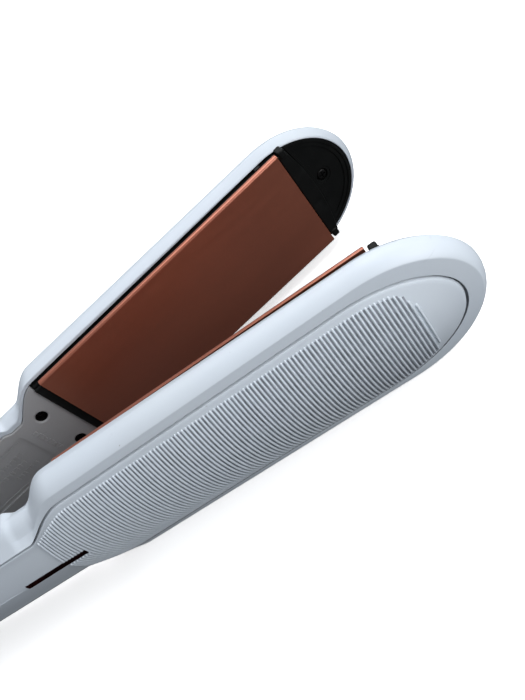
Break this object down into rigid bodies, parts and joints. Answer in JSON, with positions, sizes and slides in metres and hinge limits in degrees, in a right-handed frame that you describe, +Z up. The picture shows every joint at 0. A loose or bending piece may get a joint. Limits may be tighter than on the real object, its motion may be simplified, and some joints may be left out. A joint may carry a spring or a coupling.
{
  "type": "hair straightener",
  "caption": "Wide-plate flat iron lying on its side with its arms open; two sprung arms, floating heating plates, ribbed covers and a turning cord inlet.",
  "frame": {"origin": "middle of the footprint of the open iron, on the surface that it lies on", "axes": "+X along the main arm from the hinge to the tip, +Z up across the width of the arms, the clamp arm opens towards +Y"},
  "size_m": [0.3566, 0.1074, 0.0564],
  "materials": {
    "white_shell": "satin cool white moulded plastic",
    "inner_white": "matt cool white moulded plastic",
    "black_nylon": "black heat-resistant plastic",
    "copper_plate": "rose copper coated aluminium, satin",
    "ceramic": "matt fired ceramic",
    "spring_steel": "bright spring steel",
    "silicone": "matt red silicone",
    "dark_screw": "blackened steel",
    "circuit_green": "green circuit board",
    "smoked_red": "smoked dark red clear plastic",
    "light_bar": "red light diffuser",
    "button_grey": "soft grey rubberised plastic",
    "hinge_grey": "satin grey plastic",
    "lead_sleeve": "woven glass sleeve"
  },
  "bodies": {
    "main_arm": {"main_outer_cover": "white_shell", "main_inner_cover": "inner_white", "main_rear_cover": "inner_white", "main_tip_cap": "black_nylon", "main_tip_screw": "dark_screw", "main_plate_carrier": "black_nylon", "main_cushion_hinge_end": "silicone", "main_cushion_tip_end": "silicone", "main_cover_screw_upper": "dark_screw", "main_cover_screw_lower": "dark_screw", "hinge_pin": "spring_steel", "hinge_spring": "spring_steel", "hinge_washer_upper": "black_nylon", "hinge_washer_lower": "black_nylon", "hinge_cap_upper": "hinge_grey", "hinge_cap_lower": "hinge_grey", "control_board": "circuit_green", "indicator_light_bar": "light_bar", "indicator_lens": "smoked_red", "supply_lead": "lead_sleeve", "main_heater_lead": "lead_sleeve"},
    "main_plate_float": {"main_plate": "copper_plate", "main_heater": "ceramic", "main_heater_clip": "spring_steel", "main_thermistor": "ceramic"},
    "clamp_arm": {"clamp_outer_cover": "white_shell", "clamp_inner_cover": "inner_white", "clamp_tip_cap": "black_nylon", "clamp_tip_screw": "dark_screw", "clamp_plate_carrier": "black_nylon", "clamp_cushion_hinge_end": "silicone", "clamp_cushion_tip_end": "silicone", "clamp_cover_screw_upper": "dark_screw", "clamp_cover_screw_lower": "dark_screw", "clamp_heater_lead": "lead_sleeve"},
    "clamp_plate_float": {"clamp_plate": "copper_plate", "clamp_heater": "ceramic", "clamp_heater_clip": "spring_steel", "clamp_thermal_fuse": "ceramic"},
    "power_key": {"power_button": "button_grey"},
    "temperature_up_key": {"temperature_up_button": "button_grey"},
    "temperature_down_key": {"temperature_down_button": "button_grey"},
    "inlet": {"cord_inlet": "black_nylon", "cord_inlet_ring": "spring_steel"}
  },
  "joints": [
    {"name": "arm_hinge", "type": "hinge", "parent": "main_arm", "child": "clamp_arm", "pos_m": [-0.1337, -0.03173, 0.0282], "axis": [0, 0, 1], "range_deg": [-12.9, 0], "stiffness_Nm_per_rad": 3, "springref_deg": 11.46, "deforming": ["hinge_spring"]},
    {"name": "main_plate_press", "type": "slide", "parent": "main_arm", "child": "main_plate_float", "axis": [0, -1, 0], "range_m": [0, 0.0008], "stiffness_N_per_m": 12000, "deforming": ["main_cushion_hinge_end", "main_cushion_tip_end"]},
    {"name": "clamp_plate_press", "type": "slide", "parent": "clamp_arm", "child": "clamp_plate_float", "axis": [-0.225, 0.9744, 0], "range_m": [0, 0.0008], "stiffness_N_per_m": 12000, "deforming": ["clamp_cushion_hinge_end", "clamp_cushion_tip_end"]},
    {"name": "power_press", "type": "slide", "parent": "main_arm", "child": "power_key", "axis": [0, -1, 0], "range_m": [0, 0.0008], "stiffness_N_per_m": 800},
    {"name": "temperature_up_press", "type": "slide", "parent": "main_arm", "child": "temperature_up_key", "axis": [0, -1, 0], "range_m": [0, 0.0008], "stiffness_N_per_m": 800},
    {"name": "temperature_down_press", "type": "slide", "parent": "main_arm", "child": "temperature_down_key", "axis": [0, -1, 0], "range_m": [0, 0.0008], "stiffness_N_per_m": 800},
    {"name": "cord_inlet_turn", "type": "hinge", "parent": "main_arm", "child": "inlet", "pos_m": [-0.1637, -0.04273, 0.0282], "axis": [1, 0, 0], "continuous": true}
  ]
}
